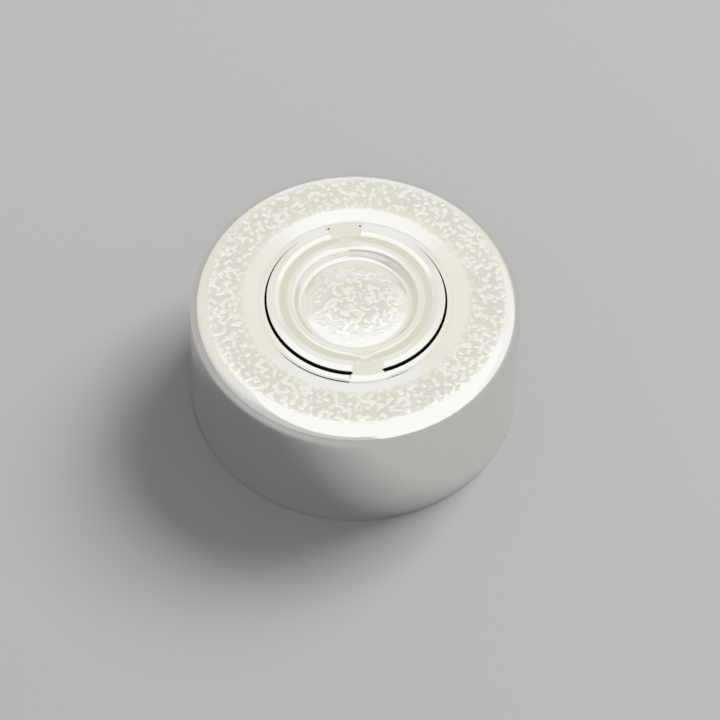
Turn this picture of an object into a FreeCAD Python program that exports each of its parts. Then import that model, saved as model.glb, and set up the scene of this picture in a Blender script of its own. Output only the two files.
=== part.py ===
"""Tear-off vial seal, nominal size 13 mm: a plain aluminium crimp cap pressed from one blank.

The cap is a drawn cup, open at the bottom, that goes over the lip of a vial and its stopper. Its
skirt is crimped under that lip later, so here it is still straight. The flat land on top takes the
crimping tool. Inside the land the sheet dips to a tear-out disc, which two lanced slits cut free
all round except at two bridges. The disc has a raised lip along each slit for a tool to catch, a
channel, a raised ring that comes to a point at each bridge, and a sunken well with a domed floor.
A round dimple thins each bridge, so that the bridge is what tears.

Frame: +Z is up, along the axis of the cap. The origin is the centre of the open rim, which stands
on Z = 0. The two bridges lie on the Y axis. Units are millimetres.
"""

import FreeCAD
import Part
import math
import os

Vector = FreeCAD.Vector

# Cup
vial_lip_diameter = 13.0
lip_clearance = 0.15
sheet = 0.20
land_height = 6.30
shoulder_radius = 0.95

# Slits that cut the disc free, and the bridges left between them
tear_radius = 3.735
slit_width = 0.06
bridge_count = 2
bridge_width = 1.24
dimple_radius = 0.43
dimple_depth = 0.05

# Widths of the forms, outwards from the slits
bridge_end_width = 0.13
shell_edge_width = 0.33
dish_width = 0.60

# Widths of the forms, inwards from the slits
lip_width = 0.215
lip_slope_width = 0.26
channel_width = 0.30
ring_slope_width = 0.17
ring_width = 0.20
well_wall_width = 0.20
dome_width = 1.24
ring_point = 0.18

# Heights of the upper side, measured from the flat land
dish_foot_height = -0.27
shell_edge_height = -0.20
bridge_end_height = -0.08
lip_edge_height = 0.02
lip_crest_height = 0.09
channel_height = 0.0
ring_height = 0.03
well_foot_height = -0.47
crown_height = -0.12

# Radii that round the upper side where it bends
land_blend = 0.80
bridge_end_blend = 0.20
lip_blend = 0.20
ring_inner_blend = 0.20
well_foot_blend = 0.08
crown_blend = 2.0

# Worked out from the sizes above
skirt_inner_radius = vial_lip_diameter / 2 + lip_clearance
skirt_outer_radius = skirt_inner_radius + sheet
shell_edge_radius = tear_radius + slit_width / 2
bridge_end_radius = shell_edge_radius + bridge_end_width
dish_foot_radius = shell_edge_radius + shell_edge_width
land_inner_radius = dish_foot_radius + dish_width
disc_edge_radius = tear_radius - slit_width / 2
lip_crest_radius = disc_edge_radius - lip_width
channel_outer_radius = lip_crest_radius - lip_slope_width
channel_inner_radius = channel_outer_radius - channel_width
ring_outer_radius = channel_inner_radius - ring_slope_width
ring_inner_radius = ring_outer_radius - ring_width
well_foot_radius = ring_inner_radius - well_wall_width
crown_radius = well_foot_radius - dome_width
dimple_middle_radius = bridge_end_radius - dimple_radius
lip_end_round = 0.75 * (lip_crest_height - channel_height)
bridge_angle = math.degrees(2 * math.asin(bridge_width / 2 / tear_radius))
end_wall_angle = math.degrees(sheet / tear_radius)

# Largest share of a straight run that the rounding at one of its ends may take
run_share = 0.48

up = Vector(0, 0, 1)
origin = Vector(0, 0, 0)
NODE = "aluminium_seal"


def corner(radius, height, blend=0.0):
    """A corner of the upper side: height from the land, and the radius that rounds it."""
    return (radius, land_height + height, blend)


def shell_corners():
    """Upper side of the shell, from the open rim over the shoulder to the foot of the dish."""
    return [
        corner(skirt_outer_radius, -land_height),
        corner(skirt_outer_radius, 0.0, shoulder_radius),
        corner(land_inner_radius, 0.0, land_blend),
        corner(dish_foot_radius, dish_foot_height),
    ]


def disc_corners():
    """Upper side of the disc, from the outer end of the channel to the axis."""
    return [
        corner(channel_outer_radius, channel_height),
        corner(channel_inner_radius, channel_height),
        corner(ring_outer_radius, ring_height),
        corner(ring_inner_radius, ring_height, ring_inner_blend),
        corner(well_foot_radius, well_foot_height, well_foot_blend),
        corner(crown_radius, crown_height, crown_blend),
        corner(0.0, crown_height),
    ]


def bridge_corners():
    """Upper side through a bridge, where the shell steps up to the level of the disc."""
    return shell_corners() + [corner(bridge_end_radius, bridge_end_height, bridge_end_blend)] + disc_corners()


def shell_edge_corners():
    """Upper side of the shell where a slit cuts it, with its edge turned up a little."""
    return shell_corners() + [corner(shell_edge_radius, shell_edge_height)]


def lip_corners():
    """Upper side of the disc where a slit cuts it, with its raised lip."""
    edge = corner(disc_edge_radius, lip_edge_height)
    crest = corner(lip_crest_radius, lip_crest_height, lip_blend)
    return [edge, crest] + disc_corners()


def direction(a, b):
    """Unit vector from corner a to corner b in the plane of the section."""
    length = math.hypot(b[0] - a[0], b[1] - a[1])
    return ((b[0] - a[0]) / length, (b[1] - a[1]) / length)


def turn_at(corners, i):
    """Angle in radians by which the outline turns at corner i, positive to the left."""
    before = direction(corners[i - 1], corners[i])
    after = direction(corners[i], corners[i + 1])
    cross = before[0] * after[1] - before[1] * after[0]
    return math.atan2(cross, before[0] * after[0] + before[1] * after[1])


def fitted(corners):
    """The corners with each rounding held to its share of the straight runs beside it."""
    result = list(corners)
    for i in range(1, len(corners) - 1):
        radius, height, blend = corners[i]
        shorter_run = min(math.dist(corners[i][:2], corners[k][:2]) for k in (i - 1, i + 1))
        largest = run_share * shorter_run / math.tan(abs(turn_at(corners, i)) / 2)
        result[i] = (radius, height, min(blend, largest))
    return result


def underside(corners):
    """Lower side of the sheet: the corners moved square to the outline by its thickness."""
    moved = []
    last = len(corners) - 1
    for i, (radius, height, blend) in enumerate(corners):
        before = direction(corners[max(i - 1, 0)], corners[max(i, 1)])
        after = direction(corners[min(i, last - 1)], corners[min(i + 1, last)])
        share = sheet / (1 + before[0] * after[0] + before[1] * after[1])
        lower_radius = radius - (before[1] + after[1]) * share
        lower_height = height + (before[0] + after[0]) * share
        lower_blend = 0.0
        if blend > 0:
            bend = turn_at(corners, i)
            lower_blend = max(blend - math.copysign(sheet, bend), 0.0)
        moved.append((lower_radius, lower_height, lower_blend))
    return moved


def rounded_path(corners):
    """Edges along the corners in the XZ plane: straight runs joined by tangent arcs."""
    edges = []
    start = Vector(corners[0][0], 0, corners[0][1])
    for i in range(1, len(corners)):
        radius, height, blend = corners[i]
        here = Vector(radius, 0, height)
        if i == len(corners) - 1 or blend <= 0:
            edges.append(Part.makeLine(start, here))
            start = here
            continue
        half_turn = abs(turn_at(corners, i)) / 2
        back = direction(corners[i], corners[i - 1])
        ahead = direction(corners[i], corners[i + 1])
        inwards = direction((0, 0), (back[0] + ahead[0], back[1] + ahead[1]))
        run = blend * math.tan(half_turn)
        reach = blend / math.cos(half_turn) - blend
        arc_start = here + Vector(back[0], 0, back[1]) * run
        arc_middle = here + Vector(inwards[0], 0, inwards[1]) * reach
        arc_end = here + Vector(ahead[0], 0, ahead[1]) * run
        edges.append(Part.makeLine(start, arc_start))
        edges.append(Part.Arc(arc_start, arc_middle, arc_end).toShape())
        start = arc_end
    return edges


def section(upper, lower):
    """Closed face between an upper and a lower outline of as many corners."""
    above = rounded_path(upper)
    below = rounded_path(lower)
    first = Part.makeLine(Vector(upper[0][0], 0, upper[0][1]), Vector(lower[0][0], 0, lower[0][1]))
    last = Part.makeLine(Vector(upper[-1][0], 0, upper[-1][1]), Vector(lower[-1][0], 0, lower[-1][1]))
    return Part.Face(Part.Wire(above + [last] + below[::-1] + [first]))


def sheet_section(corners):
    """Section of the sheet whose upper side follows the corners."""
    upper = fitted(corners)
    return section(upper, underside(upper))


def end_wall_section():
    """Section that closes the end of a lip, from its top down to the underside of the bridge."""
    floor = underside(fitted(bridge_corners()))[len(shell_corners()):]
    outer, inner = floor[0], floor[1]
    share = (disc_edge_radius - inner[0]) / (outer[0] - inner[0])
    edge_floor = inner[1] + (outer[1] - inner[1]) * share
    return section(fitted(lip_corners()), [(disc_edge_radius, edge_floor, 0.0)] + floor[1:])


def lanced_zone():
    """Block round the part of a section, from the ring out to the land, that the slits change."""
    inner_radius = (ring_inner_radius + ring_outer_radius) / 2
    outer_radius = (land_inner_radius + skirt_outer_radius) / 2
    box = Part.makeBox(outer_radius - inner_radius, 2 * sheet, 2 * land_height)
    box.translate(Vector(inner_radius, -sheet, 0))
    return box


def sector(face, start_angle, sweep):
    """The solids that the face makes when it turns about the cap's axis through sweep degrees."""
    placed = face.copy()
    placed.rotate(origin, up, start_angle)
    return placed.revolve(origin, up, sweep).Solids


def lip_end_rounding(edge_angle, side):
    """Tool that rounds the top of a lip's end, where it faces the bridge at edge_angle."""
    top = land_height + lip_crest_height
    inner_radius = (channel_inner_radius + channel_outer_radius) / 2
    block = Part.makeBox(tear_radius - inner_radius, lip_end_round, 2 * lip_end_round)
    block.translate(Vector(inner_radius, 0, top - lip_end_round))
    rod_start = Vector(0, lip_end_round, top - lip_end_round)
    rod = Part.makeCylinder(lip_end_round, 2 * tear_radius, rod_start, Vector(1, 0, 0))
    tool = block.cut(rod)
    if side < 0:
        tool = tool.mirror(origin, Vector(0, 1, 0))
    tool.rotate(origin, up, edge_angle)
    return tool


def point_outline(circle_radius, point_radius, height):
    """Triangle between a circle about the axis and the point where two of its tangents meet."""
    spread = math.acos(circle_radius / point_radius)
    side_x = circle_radius * math.cos(spread)
    side_y = circle_radius * math.sin(spread)
    tip = Vector(point_radius, 0, height)
    return Part.makePolygon([Vector(side_x, -side_y, height), tip, Vector(side_x, side_y, height),
                             Vector(side_x, -side_y, height)])


def ring_tip(angle):
    """Ridge that brings the ring's outline to a point at the bridge at the given angle."""
    rise = ring_height - channel_height
    crest = point_outline(ring_outer_radius, ring_outer_radius + ring_point, land_height + ring_height)
    foot_radius = channel_inner_radius + ring_slope_width
    foot = point_outline(foot_radius, foot_radius + ring_point, land_height + channel_height - rise)
    tip = Part.makeLoft([foot, crest], True, True)
    tip.rotate(origin, up, angle)
    return tip


def bridge_dimple(angle):
    """Shallow round pocket that thins the bridge at the given angle."""
    middle_height = land_height + (channel_height + bridge_end_height) / 2
    foot = Vector(dimple_middle_radius, 0, middle_height - dimple_depth)
    pocket = Part.makeCone(dimple_radius - dimple_depth, dimple_radius + dimple_depth, 2 * dimple_depth, foot)
    pocket.rotate(origin, up, angle)
    return pocket


def seal():
    """The whole cap as one solid, made from turned sections of the sheet."""
    zone = lanced_zone()
    bridge_face = sheet_section(bridge_corners())
    shell_edge_face = sheet_section(shell_edge_corners()).common(zone)
    lip_face = sheet_section(lip_corners()).common(zone)
    end_wall_face = end_wall_section().common(zone)
    pieces = sector(bridge_face.cut(zone), 0, 360)
    tips = []
    cuts = []
    pitch = 360 / bridge_count
    slit_angle = pitch - bridge_angle
    for i in range(bridge_count):
        middle = 90 + i * pitch
        slit_start = middle + bridge_angle / 2
        slit_end = slit_start + slit_angle
        pieces += sector(bridge_face.common(zone), middle - bridge_angle / 2, bridge_angle)
        pieces += sector(shell_edge_face, slit_start, slit_angle)
        pieces += sector(lip_face, slit_start, slit_angle)
        pieces += sector(end_wall_face, slit_start, end_wall_angle)
        pieces += sector(end_wall_face, slit_end - end_wall_angle, end_wall_angle)
        tips.append(ring_tip(middle))
        cuts.append(lip_end_rounding(slit_start, 1))
        cuts.append(lip_end_rounding(slit_end, -1))
        cuts.append(bridge_dimple(middle))
    body = pieces[0].fuse(pieces[1:] + tips)
    return body.cut(cuts).removeSplitter()


def main():
    """Builds the cap, checks that it is one closed solid and writes its STEP file."""
    os.makedirs("parts", exist_ok=True)
    body = seal()
    if len(body.Solids) != 1 or not body.isValid():
        raise ValueError(f"the cap has {len(body.Solids)} solids, valid {body.isValid()}")
    solid = body.Solids[0]
    box = solid.optimalBoundingBox()
    print(f"{NODE}: {solid.Volume:.3f} mm3, {len(solid.Faces)} faces, "
          f"{box.XLength:.2f} x {box.YLength:.2f} x {box.ZLength:.2f} mm")
    solid.exportStep(f"parts/{NODE}.step")


main()
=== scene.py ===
"""Tear-off vial seal: the dressed aluminium cap and a plain studio round it.

The cap is one pressed sheet. Its mesh is swept round the axis in columns. In each column the upper
side of the sheet is a bent line from the axis out to the shoulder, and the lower side lies one
sheet thickness inside it. Two slits part the disc in the middle from the shell round it.
All sizes are in metres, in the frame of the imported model.
"""

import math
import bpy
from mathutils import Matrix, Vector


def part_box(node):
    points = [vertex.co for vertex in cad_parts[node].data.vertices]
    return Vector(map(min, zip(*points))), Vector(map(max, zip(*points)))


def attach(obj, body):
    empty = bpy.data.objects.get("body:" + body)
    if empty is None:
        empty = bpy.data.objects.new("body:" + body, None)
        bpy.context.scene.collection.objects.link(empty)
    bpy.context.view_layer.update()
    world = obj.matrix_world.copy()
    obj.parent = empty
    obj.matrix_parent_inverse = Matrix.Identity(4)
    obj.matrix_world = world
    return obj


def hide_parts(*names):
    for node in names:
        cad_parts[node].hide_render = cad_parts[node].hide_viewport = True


bl_info = {
    "name": "Tear-off vial seal",
    "version": (1, 0, 0),
    "blender": (4, 5, 0),
    "location": "3D View > Sidebar > Vial seal",
    "description": "Builds a crimp cap with a lanced tear-out disc, its aluminium finish and a studio",
    "category": "Add Mesh",
}

import bpy
import numpy as np
from bpy.props import FloatProperty, FloatVectorProperty, IntProperty, PointerProperty
from bpy.types import Operator, Panel, PropertyGroup
from mathutils import Matrix, Vector

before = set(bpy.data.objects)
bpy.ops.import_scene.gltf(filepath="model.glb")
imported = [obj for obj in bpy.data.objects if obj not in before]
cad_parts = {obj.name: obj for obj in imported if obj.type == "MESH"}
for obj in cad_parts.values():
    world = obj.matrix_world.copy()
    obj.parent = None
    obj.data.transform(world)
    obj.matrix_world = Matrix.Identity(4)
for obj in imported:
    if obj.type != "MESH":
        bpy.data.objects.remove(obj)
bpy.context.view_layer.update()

NODE = "aluminium_seal"
BODY = "root"
MM = 0.001
PICTURE_SIDE = 720
SENSOR = 36.0
OUTER_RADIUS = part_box(NODE)[1].x

# outer radius of the raised ring, and radius on which the dimples lie, in millimetres
RING_EDGE = 2.90
DIMPLE_CIRCLE = 3.46

# what the metal mirrors where no patch lies, and what lights the floor
BACKDROP = (0.62, 0.62, 0.62)
AMBIENT = (0.30, 0.30, 0.305)

# patches that the metal mirrors, each over those before it: azimuth from the camera and elevation
# of its middle, angles at which it starts to fade and is gone, and light
SURROUNDINGS = (
    (180, 45, 55, 90, (0.85, 0.82, 0.73)),
    (-95, 45, 10, 45, (0.86, 0.85, 0.80)),
    (125, 28, 12, 30, (0.98, 0.97, 0.92)),
    (95, 8, 26, 36, (1.00, 1.00, 0.99)),
    (45, 14, 30, 34, (1.07, 1.07, 1.06)),
    (0, 58, 41, 43, (1.07, 1.07, 1.06)),
    (45, 36, 22, 26, (1.07, 1.07, 1.06)),
    (82, 52, 28, 32, (1.07, 1.07, 1.06)),
    (110, 64, 20, 24, (1.07, 1.07, 1.06)),
    (-114, 68, 17, 20, (1.06, 1.06, 1.05)),
    (180, 55, 28.5, 30, (0.91, 0.885, 0.81)),
    (180, 55, 4, 24, (0.87, 0.84, 0.755)),
    (180, 16, 10, 26, (0.93, 0.93, 0.93)),
)


def length(name, description, default):
    """A length in metres that the user can set."""
    return FloatProperty(name=name, description=description, default=default, unit="LENGTH",
                         precision=5)


def angle(name, description, degrees):
    """An angle that the user can set, given here in degrees."""
    return FloatProperty(name=name, description=description, default=math.radians(degrees),
                         unit="ROTATION")


def factor(name, description, default):
    """A plain number that the user can set."""
    return FloatProperty(name=name, description=description, default=default, precision=3)


def colour(name, description, default):
    """A colour that the user can set."""
    return FloatVectorProperty(name=name, description=description, default=default,
                               subtype="COLOR", size=3, min=0.0, max=1.0)


class VialSealCup(PropertyGroup):
    outer_radius: length("Outer radius", "Outside of the skirt", OUTER_RADIUS)
    sheet: length("Sheet", "Thickness of the aluminium", 0.20 * MM)
    land_height: length("Land height", "From the rim to the flat land", 6.30 * MM)
    shoulder: length("Shoulder", "Outer radius of the bend between skirt and land", 0.95 * MM)
    rim_round: length("Rim rounding", "Rounding along the cut edge of the skirt", 0.04 * MM)
    waviness: length("Waviness", "How far the drawn skirt departs from a cylinder", 0.006 * MM)
    columns: IntProperty(name="Columns", description="Columns of faces round the axis",
                         default=400, min=64)


class VialSealDisc(PropertyGroup):
    tear_radius: length("Tear radius", "Middle of the slits", 3.735 * MM)
    slit: length("Slit", "Width of the slits", 0.09 * MM)
    bridge_width: length("Bridge width", "Width of each bridge that holds the disc", 1.24 * MM)
    dish_depth: length("Dish depth", "How far the shell dips towards the disc", 0.215 * MM)
    lip_rise: length("Lip rise", "Height of the lip's crest over the land", 0.09 * MM)
    channel_level: length("Channel level", "Height of the channel over the land", 0.0)
    ring_rise: length("Ring rise", "Height of the raised ring over the land", 0.048 * MM)
    ring_point: length("Ring point", "How far the ring reaches to each bridge", 0.18 * MM)
    well_depth: length("Well depth", "Depth of the sunken well at its foot", 0.49 * MM)
    crown_depth: length("Crown depth", "Depth of the middle of the well's floor", 0.105 * MM)
    dimple_radius: length("Dimple radius", "Round dimple on each bridge", 0.45 * MM)
    dimple_depth: length("Dimple depth", "Depth of the dimple", 0.019 * MM)


class VialSealFinish(PropertyGroup):
    metal: colour("Metal", "Colour of the lacquered aluminium", (0.90, 0.895, 0.88))
    # painted shade: a darker, browner colour for the shade in the channel and on the well's wall
    painted_recess_shade: colour("Lacquer", "Colour in the channel and on the well's wall, under more lacquer",
                    (0.78, 0.755, 0.69))
    # painted shade: near black on the slits' walls, for the shadow inside the slits
    torn_face_shade: colour("Torn metal", "Colour of the faces that the lancing leaves", (0.10, 0.10, 0.10))
    roughness: FloatProperty(name="Roughness", description="Roughness of the metal",
                             default=0.11, min=0.0, max=1.0, subtype="FACTOR")
    grain: length("Grain", "Size of the fine worm-like grain on the flats", 0.41 * MM)
    grain_relief: length("Grain relief", "Height of that grain", 0.020 * MM)


class VialSealStudio(PropertyGroup):
    floor: colour("Floor", "Colour of the floor", (0.60, 0.60, 0.595))
    azimuth: angle("Camera azimuth", "0 looks along +Y", -8.7)
    elevation: angle("Camera elevation", "Above the floor", 55.24)
    roll: angle("Camera roll", "Turn of the camera about its line of sight", 1.48)
    distance: length("Camera distance", "From the middle of the rim", 243 * MM)
    scale: factor("Picture scale", "Pixels per millimetre at the middle of the rim", 23.719)
    middle_x: factor("Rim middle across", "Pixel column of the middle of the rim", 353.7)
    middle_y: factor("Rim middle down", "Pixel row of the middle of the rim", 385.2)


def bent_line(radius, corners):
    """Height along straight runs between (radius, height, softening) corners, with soft bends."""
    (r0, z0, _), (r1, z1, _) = corners[0], corners[1]
    slope = (z1 - z0) / (r1 - r0)
    height = z0 + slope * (radius - r0)
    for i in range(1, len(corners) - 1):
        (r1, z1, soft), (r2, z2, _) = corners[i], corners[i + 1]
        next_slope = (z2 - z1) / (r2 - r1)
        past = radius - r1
        within = (past + soft) ** 2 / (4 * soft)
        bend = np.where(past > soft, past, np.where(past < -soft, 0.0, within))
        height = height + (next_slope - slope) * bend
        slope = next_slope
    return height


def step(value, start, end):
    """Smooth step from 0 at start to 1 at end."""
    t = np.clip((value - start) / (end - start), 0.0, 1.0)
    return t * t * (3 - 2 * t)


def ripple(angles, seed, waves):
    """Sum of a few seeded waves round the circle, two and more, between about -1 and 1."""
    rng = np.random.default_rng(seed)
    total = np.zeros_like(angles)
    for k in range(waves):
        size = rng.normal()
        wave = np.cos((2 + k) * angles + rng.uniform(0, 2 * math.pi))
        total += size * wave / (1 + 0.35 * k)
    return total / 2.2


class Relief:
    """Heights of the sheet's upper side over the land, by radius and angle from the X axis."""

    def __init__(self, cup, disc):
        self.cup, self.disc = cup, disc
        self.disc_edge = disc.tear_radius - disc.slit / 2
        self.shell_edge = disc.tear_radius + disc.slit / 2
        self.half_bridge = math.asin(disc.bridge_width / 2 / disc.tear_radius)
        self.land_outer = cup.outer_radius - cup.shoulder

    def from_bridge(self, angles):
        """Angle to the nearest bridge; the bridges are on the Y axis."""
        turned = np.mod(angles, math.pi) - math.pi / 2
        return np.abs(turned)

    def inner_corners(self):
        """Corners from the axis over the well, its raised ring and the channel, in millimetres."""
        d = self.disc
        well, crown = -d.well_depth / MM, -d.crown_depth / MM
        ring, channel = d.ring_rise / MM, d.channel_level / MM
        return [(0.0, crown, 0.0), (1.12, crown, 0.27), (2.33, well, 0.13),
                (2.54, ring - 0.06, 0.07), (2.74, ring, 0.03), (RING_EDGE, channel, 0.03)]

    def lip_line(self, radius):
        """Disc where a slit cuts it free."""
        crest, channel = self.disc.lip_rise / MM, self.disc.channel_level / MM
        outer = [(3.16, channel, 0.06), (3.40, crest, 0.025), (3.75, crest - 0.105, 0.0)]
        return bent_line(radius, self.inner_corners() + outer)

    def bridge_line(self, radius):
        """Sheet through a bridge."""
        foot, channel = -self.disc.dish_depth / MM, self.disc.channel_level / MM
        outer = [(3.04, channel, 0.10), (3.86, channel - 0.045, 0.05), (4.03, foot, 0.05),
                 (4.10, foot + 0.02, 0.03), (4.72, 0.0, 0.12), (6.0, 0.0, 0.0)]
        return bent_line(radius, self.inner_corners() + outer)

    def edge_line(self, radius, crease):
        """Shell where a slit cuts it: a dip with its edge turned up and a crease at its foot."""
        foot = -self.disc.dish_depth / MM
        riser = foot + 0.026 + crease
        return bent_line(radius, [(3.70, foot + 0.09, 0.0), (4.01, foot, 0.055),
                                  (4.11, riser, 0.045), (4.72, 0.0, 0.12), (6.0, 0.0, 0.0)])

    def pointed(self, radius, angles):
        """Radii moved inwards where the ring's outline runs out to a point at a bridge."""
        reach = math.acos(RING_EDGE / (RING_EDGE + self.disc.ring_point / MM))
        spread = np.clip(reach - self.from_bridge(angles), 0.0, None)
        shift = RING_EDGE / np.cos(spread) - RING_EDGE
        local = step(radius, 2.56, 2.86) * (1 - step(radius, 3.0, 3.3))
        return radius - shift * local

    def heights(self, radius, angles):
        """Heights over the land on the disc side and on the shell side, in metres."""
        radius = radius / MM
        near = self.from_bridge(angles)
        held = 1 - step(near, self.half_bridge, self.half_bridge + math.radians(2.2))
        inner = self.pointed(radius, angles)
        bridge = self.bridge_line(inner)
        across = np.hypot(radius * np.sin(near), radius * np.cos(near) - DIMPLE_CIRCLE)
        dimple_radius = self.disc.dimple_radius / MM
        dimple = 1 - step(across, dimple_radius - 0.07, dimple_radius + 0.03)
        bridge = bridge - dimple * (1 - step(radius, 3.84, 3.90)) * self.disc.dimple_depth / MM
        on_disc = held * bridge + (1 - held) * self.lip_line(inner)
        # the crease is deepest along the left of the front and dies out before the bridges
        turned = np.mod(angles - math.radians(228) + math.pi, 2 * math.pi) - math.pi
        crease = 0.004 + 0.008 * np.exp(-(turned / math.radians(34)) ** 2)
        crease = crease * step(near, self.half_bridge, self.half_bridge + math.radians(8))
        held = 1 - step(near, self.half_bridge, self.half_bridge + math.radians(2.8))
        on_shell = held * bridge + (1 - held) * self.edge_line(radius, crease)
        return on_disc * MM, on_shell * MM


def eroded(radii, heights, depth):
    """Lower side of a sheet of this depth under each column of heights."""
    lower = np.full_like(heights, np.inf)
    for offset in np.linspace(-0.96, 0.96, 17) * depth:
        shifted = np.array([np.interp(radii + offset, radii, column) for column in heights])
        lower = np.minimum(lower, shifted - math.sqrt(depth * depth - offset * offset))
    return lower


def column_angles(relief, count):
    """Angles of the columns, closer together round the ends of the slits."""
    fine = math.radians(12)
    share = 0.30
    per_quarter = count // 4
    near = np.linspace(0, fine, int(per_quarter * share), endpoint=False)
    far = np.linspace(fine, math.pi / 2, per_quarter - len(near), endpoint=False)
    quarter = np.concatenate([near, far])
    # the edge of the bridge falls on a column
    quarter[np.argmin(np.abs(quarter - relief.half_bridge))] = relief.half_bridge
    half = np.concatenate([quarter, math.pi - np.append(quarter[1:], math.pi / 2)[::-1]])
    return math.pi / 2 + np.concatenate([half, half + math.pi])


def arc(middle, radius, start, end, steps):
    """Points of an arc in the plane of the section."""
    turn = np.radians(np.linspace(start, end, steps))
    return np.stack([middle[0] + radius * np.cos(turn), middle[1] + radius * np.sin(turn)], axis=1)


def skirt_path(cup):
    """Section from the outer end of the land over the shoulder, down, round the rim and up inside."""
    r, t, top, bend, rim = cup.outer_radius, cup.sheet, cup.land_height, cup.shoulder, cup.rim_round
    down = np.linspace(top - bend, rim, 14)[1:-1]
    up = np.linspace(rim, top - bend, 6)[1:-1]
    return np.concatenate([
        arc((r - bend, top - bend), bend, 90, 0, 20)[1:],
        np.stack([np.full_like(down, r), down], axis=1),
        arc((r - rim, rim), rim, 0, -90, 4),
        arc((r - t + rim, rim), rim, 270, 180, 4),
        np.stack([np.full_like(up, r - t), up], axis=1),
        arc((r - bend, top - bend), bend - t, 0, 90, 9)[:-1],
    ])


def thinned(count):
    """Numbers of every fourth of so many stations, with the last."""
    return np.append(np.arange(0, count - 1, 4), count - 1)


def grid_faces(first, second):
    """Quads between two neighbouring stations of all columns."""
    return np.stack([first, np.roll(first, -1), np.roll(second, -1), second], axis=1)


def seal_mesh(cup, disc):
    """Mesh of the whole sheet."""
    relief = Relief(cup, disc)
    angles = column_angles(relief, cup.columns)
    # stations are closest where the sheet bends most, and none lies nearer than this to a slit's edge
    least = 0.008 * MM
    disc_radii = np.concatenate([np.linspace(0.12, 0.96, 6), np.arange(1.00, 2.24, 0.06),
                                 np.arange(2.24, 2.66, 0.016), np.arange(2.67, 3.8, 0.022)]) * MM
    disc_radii = disc_radii[disc_radii < relief.disc_edge - least]
    disc_radii = np.append(disc_radii, relief.disc_edge)
    shell_radii = np.concatenate([np.arange(3.70, 3.97, 0.03), np.arange(3.98, 4.12, 0.01),
                                  np.arange(4.14, 5.0, 0.05)]) * MM
    shell_radii = np.append(shell_radii, np.linspace(5.1 * MM, relief.land_outer, 8))
    shell_radii = shell_radii[shell_radii > relief.shell_edge + least]
    shell_radii = np.append(relief.shell_edge, shell_radii)
    grid_angles = angles[:, None]
    on_disc, _ = relief.heights(disc_radii[None, :], grid_angles)
    _, on_shell = relief.heights(shell_radii[None, :], grid_angles)
    under_disc = eroded(disc_radii, on_disc, cup.sheet)
    under_shell = eroded(shell_radii, on_shell, cup.sheet)

    count = len(angles)
    points = []
    stations = []

    def add(radii, heights):
        """Adds one station of vertices per radius and keeps their numbers."""
        radii = np.broadcast_to(radii, (count, heights.shape[1]))
        for k in range(heights.shape[1]):
            stations.append(len(stations) * count + np.arange(count))
            points.append(np.stack([radii[:, k] * np.cos(angles), radii[:, k] * np.sin(angles),
                                    heights[:, k]], axis=1))
        return stations[-heights.shape[1]:]

    top = cup.land_height
    upper_disc = add(disc_radii, top + on_disc)
    upper_shell = add(shell_radii, top + on_shell)
    path = skirt_path(cup)
    # the skirt's waviness grows from the shoulder down to the rim
    share = step(-path[:, 1], -5.2 * MM, -1.0 * MM)
    drift = cup.waviness * (ripple(angles, 3, 7)[:, None] * share[None, :])
    skirt = add(path[None, :, 0] + drift, np.broadcast_to(path[None, :, 1], (count, len(path))))
    # the lower side shows less, so it has fewer stations
    kept = thinned(len(shell_radii))[::-1]
    lower_shell = add(shell_radii[kept], top + under_shell[:, kept])[::-1]
    kept = thinned(len(disc_radii))
    lower_disc = add(disc_radii[kept], top + under_disc[:, kept])

    faces = []
    for strip in (upper_disc, upper_shell + skirt + lower_shell[::-1]):
        faces += [grid_faces(b, a) for a, b in zip(strip, strip[1:])]
    faces += [grid_faces(a, b) for a, b in zip(lower_disc, lower_disc[1:])]
    quads = np.concatenate(faces)

    # where a bridge holds the disc its faces go on to the shell, and elsewhere the slits get walls
    held = relief.from_bridge((angles + np.roll(angles, -1)) / 2) < relief.half_bridge
    held[-1] = True
    ud, us, ls, ld = upper_disc[-1], upper_shell[0], lower_shell[0], lower_disc[-1]
    bridges = np.concatenate([grid_faces(us, ud)[held], grid_faces(ld, ls)[held]])
    walls = np.concatenate([grid_faces(ld, ud)[~held][:, ::-1], grid_faces(us, ls)[~held][:, ::-1]])
    starts = np.flatnonzero(held & ~np.roll(held, -1)) + 1
    ends = np.flatnonzero(~held & np.roll(held, -1)) + 1
    closing = [[row[i % count] for row in (ud, us, ls, ld)] for i in starts]
    closing += [[row[i % count] for row in (ld, ls, us, ud)] for i in ends]
    quads = np.concatenate([quads, bridges, walls, np.array(closing)])

    vertices = np.concatenate(points)
    crown = len(vertices)
    floor_height = top + np.array([[on_disc[:, 0].mean()], [under_disc[:, 0].mean()]])
    vertices = np.concatenate([vertices, np.hstack([np.zeros((2, 2)), floor_height])])
    upper, lower = upper_disc[0].tolist(), lower_disc[0].tolist()
    fans = [(upper[i], upper[(i + 1) % count], crown) for i in range(count)]
    fans += [(lower[(i + 1) % count], lower[i], crown + 1) for i in range(count)]

    mesh = bpy.data.meshes.new("seal")
    mesh.from_pydata(vertices.tolist(), [], quads.tolist() + fans)
    mesh.validate()
    mesh.shade_smooth()
    mesh.set_sharp_from_angle(angle=math.radians(40))
    return mesh


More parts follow.
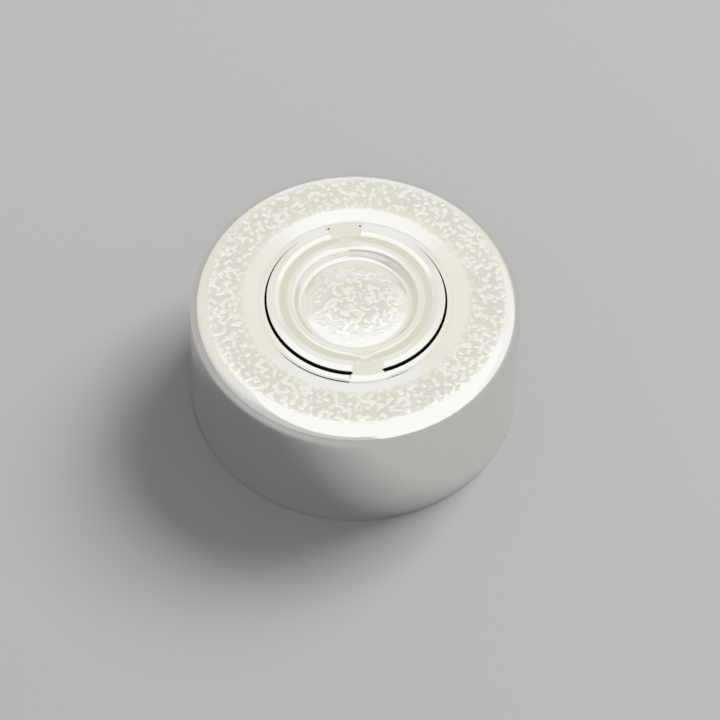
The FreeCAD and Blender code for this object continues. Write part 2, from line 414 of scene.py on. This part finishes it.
class Shade:
    """A node socket, so that shader maths reads as an expression."""

    def __init__(self, tree, socket):
        self.tree, self.socket = tree, socket

    def math(self, operation, *others, swap=False):
        values = [self, *others]
        if swap:
            values = values[::-1]
        return node(self.tree, "ShaderNodeMath", {"operation": operation}, dict(enumerate(values)))

    def __add__(self, other):
        return self.math("ADD", other)

    def __sub__(self, other):
        return self.math("SUBTRACT", other)

    def __mul__(self, other):
        return self.math("MULTIPLY", other)

    def __pow__(self, other):
        return self.math("POWER", other)

    def __rsub__(self, other):
        return self.math("SUBTRACT", other, swap=True)

    __radd__ = __add__
    __rmul__ = __mul__

    def abs(self):
        return self.math("ABSOLUTE")

    def between(self, low, high):
        """Smooth step of this value from 0 at low to 1 at high."""
        return node(self.tree, "ShaderNodeMapRange", {"interpolation_type": "SMOOTHSTEP"},
                    {0: self, 1: low, 2: high})


def node(tree, kind, settings=None, inputs=None, output=0):
    """Makes a node, sets it up, sets or links its inputs, and gives back one output."""
    made = tree.nodes.new(kind)
    for name, value in (settings or {}).items():
        setattr(made, name, value)
    for name, value in (inputs or {}).items():
        if isinstance(value, Shade):
            tree.links.new(value.socket, made.inputs[name])
        else:
            made.inputs[name].default_value = value
    return Shade(tree, made.outputs[output]) if made.outputs else None


def mixed(tree, share, first, second):
    """Colour between two colours."""
    return node(tree, "ShaderNodeMix", {"data_type": "RGBA"}, {0: share, 6: first, 7: second},
                output=2)


def band(value, start, end):
    """Mask that rises over the first pair of values and falls over the second, in millimetres."""
    return value.between(start[0] * MM, start[1] * MM) * (1 - value.between(end[0] * MM, end[1] * MM))


def rgba(values):
    """Colour with its alpha."""
    return (*values, 1.0)


def fresh_tree(owner):
    """Empty node tree of a material or world."""
    owner.use_nodes = True
    owner.node_tree.nodes.clear()
    return owner.node_tree


def aluminium(finish, cup, disc):
    """Satin lacquered aluminium with a fine grain on its flats, painted shade in its channel and on
    its well's wall, and near-black painted shade on the walls of its slits.
    """
    material = bpy.data.materials.new("satin_aluminium")
    tree = fresh_tree(material)
    place = node(tree, "ShaderNodeTexCoord", output=3)
    parts = tree.nodes.new("ShaderNodeSeparateXYZ")
    tree.links.new(place.socket, parts.inputs[0])
    x, y, z = (Shade(tree, parts.outputs[i]) for i in range(3))
    radius = (x * x + y * y) ** 0.5
    on_top = z.between(cup.land_height - 0.6 * MM, cup.land_height - 0.4 * MM)
    land = band(radius, (4.5, 5.1), (6.0, 6.35))
    middle = 1 - radius.between(1.50 * MM, 2.10 * MM)
    flats = on_top * (land + middle)

    def noise(vector, scale, detail, output=0):
        return node(tree, "ShaderNodeTexNoise", {},
                    {"Vector": vector, "Scale": scale, "Detail": detail}, output)

    # edges of cells on bent coordinates make the worms, and a noise breaks them up
    bent = node(tree, "ShaderNodeVectorMath", {"operation": "MULTIPLY_ADD"},
                {0: noise(place, 1.1 / finish.grain, 1.0, output=1),
                 1: (1.1 * finish.grain,) * 3, 2: place})
    worms = node(tree, "ShaderNodeTexVoronoi",
                 {"voronoi_dimensions": "2D", "feature": "DISTANCE_TO_EDGE"},
                 {"Vector": bent, "Scale": 1 / finish.grain})
    breaks = noise(place, 1.9 / finish.grain, 0.0)
    ridge = (1 - worms.between(0.04, 0.36)) * breaks.between(0.40, 0.62)
    cloud = noise(place, 0.7 / MM, 2.0)
    # drawing marks run down the skirt
    drawn = node(tree, "ShaderNodeVectorMath", {"operation": "MULTIPLY"}, {0: place, 1: (1, 1, 0.08)})
    streaks = noise(drawn, 2.4 / MM, 3.0)
    relief = ridge * flats + cloud * 0.3 + streaks * (1 - on_top) * 0.25
    normal = node(tree, "ShaderNodeBump", {},
                  {"Strength": 1.0, "Distance": finish.grain_relief, "Height": relief})

    # the walls of the slits are the upright faces near the tear radius; they are rougher, and they
    # take a near-black painted shade for the shadow in the slits
    upright = node(tree, "ShaderNodeSeparateXYZ", {},
                   {0: node(tree, "ShaderNodeNewGeometry", output=1)}, output=2)
    near = (disc.tear_radius - disc.slit / 2) / MM
    far = (disc.tear_radius + disc.slit / 2) / MM
    torn_face_shade = (on_top * band(radius, (near - 0.02, near - 0.01), (far + 0.01, far + 0.02))
            * (1 - upright.abs().between(0.3, 0.6)))

    metal = rgba(finish.metal)
    pale = rgba([min(1.0, c * 1.10) for c in finish.metal])
    dull = rgba([c * 0.895 for c in finish.metal])
    field = mixed(tree, cloud.between(0.35, 0.65) * 0.4, dull, metal)
    # painted shade: the channel and the well's wall are mixed towards a darker, browner colour, for
    # the shade in these hollows
    channel = band(radius, (2.78, 2.90), (3.12, 3.24))
    wall = band(radius, (2.34, 2.42), (2.50, 2.58))
    plain = mixed(tree, on_top * (channel + wall) * 0.65, metal, rgba(finish.painted_recess_shade))
    tint = mixed(tree, flats, plain, mixed(tree, ridge, field, pale))
    roughness = (finish.roughness + flats * 0.05 + (cloud - 0.5) * 0.08 + torn_face_shade * 0.3
                 + (streaks - 0.5) * (1 - on_top) * 0.25)
    # the base colour turns near black on the slits' walls, a painted shade
    surface = node(tree, "ShaderNodeBsdfPrincipled", {},
                   {"Base Color": mixed(tree, torn_face_shade, tint, rgba(finish.torn_face_shade)), "Metallic": 1.0,
                    "Normal": normal, "Roughness": roughness})
    node(tree, "ShaderNodeOutputMaterial", {}, {"Surface": surface})
    return material


class VIALSEAL_OT_seal(Operator):
    """Build the seal's sheet in place of its CAD solid"""

    bl_idname = "vialseal.seal"
    bl_label = "Build seal"

    def execute(self, context):
        scene = context.scene
        mesh = seal_mesh(scene.vial_seal_cup, scene.vial_seal_disc)
        mesh.materials.append(aluminium(scene.vial_seal_finish, scene.vial_seal_cup,
                                        scene.vial_seal_disc))
        seal = bpy.data.objects.new("seal", mesh)
        scene.collection.objects.link(seal)
        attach(seal, BODY)
        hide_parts(NODE)
        return {"FINISHED"}


def toward(azimuth, elevation, distance):
    """Point seen from the seal at this azimuth, where 0 is the camera's side, and elevation."""
    a, e = math.radians(azimuth), math.radians(elevation)
    return Vector((math.sin(a) * math.cos(e), -math.cos(a) * math.cos(e), math.sin(e))) * distance


def softbox(name, place, side, radiance, tint):
    """Square soft light at a place, facing the seal, with the brightness that its face has."""
    lamp = bpy.data.lights.new(name, "AREA")
    lamp.shape = "RECTANGLE"
    lamp.size = lamp.size_y = side
    lamp.energy = radiance * math.pi * side * side
    lamp.color = tint
    holder = bpy.data.objects.new(name, lamp)
    holder.location = place
    holder.rotation_mode = "QUATERNION"
    holder.rotation_quaternion = place.to_track_quat("Z", "Y")
    bpy.context.scene.collection.objects.link(holder)
    return holder


def camera(studio):
    """Camera at the photograph's angle, aimed so that the rim's middle falls on its pixel."""
    azimuth, elevation = studio.azimuth, studio.elevation
    back = Vector((math.sin(azimuth) * math.cos(elevation),
                   -math.cos(azimuth) * math.cos(elevation), math.sin(elevation)))
    right = Vector((math.cos(azimuth), math.sin(azimuth), 0.0))
    up = back.cross(right)
    place = back * studio.distance
    rolled_right = right * math.cos(studio.roll) + up * math.sin(studio.roll)
    rolled_up = up * math.cos(studio.roll) - right * math.sin(studio.roll)
    across = (PICTURE_SIDE / 2 - studio.middle_x) / studio.scale * MM
    above = (studio.middle_y - PICTURE_SIDE / 2) / studio.scale * MM
    aim = rolled_right * across + rolled_up * above
    look = (place - aim).normalized()
    side = rolled_up.cross(look).normalized()
    data = bpy.data.cameras.new("camera")
    data.sensor_width = SENSOR
    data.lens = studio.scale / MM * studio.distance * SENSOR / PICTURE_SIDE
    data.clip_start, data.clip_end = 0.01, 10.0
    holder = bpy.data.objects.new("camera", data)
    turn = Matrix((side, look.cross(side), look)).transposed().to_4x4()
    holder.matrix_world = Matrix.Translation(place) @ turn
    bpy.context.scene.collection.objects.link(holder)
    bpy.context.scene.camera = holder


def floor_material(tone):
    """Plain pale matt floor."""
    material = bpy.data.materials.new("pale_floor")
    tree = fresh_tree(material)
    surface = node(tree, "ShaderNodeBsdfPrincipled", {},
                   {"Base Color": rgba(tone), "Roughness": 0.9, "Specular IOR Level": 0.1})
    node(tree, "ShaderNodeOutputMaterial", {}, {"Surface": surface})
    return material


def studio_world(side):
    """Soft surroundings: patches of light for the metal, and an even dim light for the rest."""
    world = bpy.data.worlds.new("studio_world")
    tree = fresh_tree(world)
    way = node(tree, "ShaderNodeTexCoord")
    tint = rgba(BACKDROP)
    for azimuth, elevation, inner, outer, light in SURROUNDINGS:
        facing = node(tree, "ShaderNodeVectorMath", {"operation": "DOT_PRODUCT"},
                      {0: way, 1: toward(side + azimuth, elevation, 1.0)}, output=1)
        share = facing.between(math.cos(math.radians(outer)), math.cos(math.radians(inner)))
        tint = mixed(tree, share, tint, rgba(light))
    ray = tree.nodes.new("ShaderNodeLightPath")
    first, glossy, diffuse_depth = (Shade(tree, ray.outputs[name])
                                    for name in ("Is Camera Ray", "Is Glossy Ray", "Diffuse Depth"))
    seen = (first + glossy) * (1 - diffuse_depth.math("MINIMUM", 1.0))
    background = node(tree, "ShaderNodeBackground", {},
                      {"Color": mixed(tree, seen, rgba(AMBIENT), tint)})
    node(tree, "ShaderNodeOutputWorld", {}, {"Surface": background})
    return world


class VIALSEAL_OT_studio(Operator):
    """Make the floor, the soft lights and the camera"""

    bl_idname = "vialseal.studio"
    bl_label = "Make studio"

    def execute(self, context):
        scene = context.scene
        studio = scene.vial_seal_studio
        floor = bpy.data.objects.new("floor", bpy.data.meshes.new("floor"))
        reach = 2.0
        corners = [(x * reach, y * reach, 0) for x, y in ((-1, -1), (1, -1), (1, 1), (-1, 1))]
        floor.data.from_pydata(corners, [], [(0, 1, 2, 3)])
        floor.data.materials.append(floor_material(studio.floor))
        scene.collection.objects.link(floor)

        side = math.degrees(studio.azimuth)
        scene.world = studio_world(side)
        key = softbox("key_softbox", toward(side + 132, 45, 0.60), side=0.32, radiance=9.0,
                      tint=(1.0, 0.99, 0.97))
        key.visible_glossy = False
        camera(studio)
        scene.view_settings.view_transform = "Standard"
        return {"FINISHED"}


class VIALSEAL_PT_panel(Panel):
    """Sizes, colours and operators of the vial seal"""

    bl_idname = "VIALSEAL_PT_panel"
    bl_label = "Vial seal"
    bl_space_type = "VIEW_3D"
    bl_region_type = "UI"
    bl_category = "Vial seal"

    def draw(self, context):
        for group in GROUPS:
            settings = getattr(context.scene, group)
            box = self.layout.box()
            for name in settings.bl_rna.properties.keys():
                if name not in ("rna_type", "name"):
                    box.prop(settings, name)
        self.layout.operator(VIALSEAL_OT_seal.bl_idname)
        self.layout.operator(VIALSEAL_OT_studio.bl_idname)


GROUPS = {"vial_seal_cup": VialSealCup, "vial_seal_disc": VialSealDisc,
          "vial_seal_finish": VialSealFinish, "vial_seal_studio": VialSealStudio}
CLASSES = (*GROUPS.values(), VIALSEAL_OT_seal, VIALSEAL_OT_studio, VIALSEAL_PT_panel)


def register():
    """Registers the classes and hangs their settings on the scene."""
    for cls in CLASSES:
        bpy.utils.register_class(cls)
    for name, group in GROUPS.items():
        setattr(bpy.types.Scene, name, PointerProperty(type=group))


def unregister():
    """Takes both away again."""
    for name in GROUPS:
        delattr(bpy.types.Scene, name)
    for cls in reversed(CLASSES):
        bpy.utils.unregister_class(cls)


def main():
    """Builds the scene."""
    register()
    bpy.ops.vialseal.seal()
    bpy.ops.vialseal.studio()


if __name__ == "__main__":
    main()
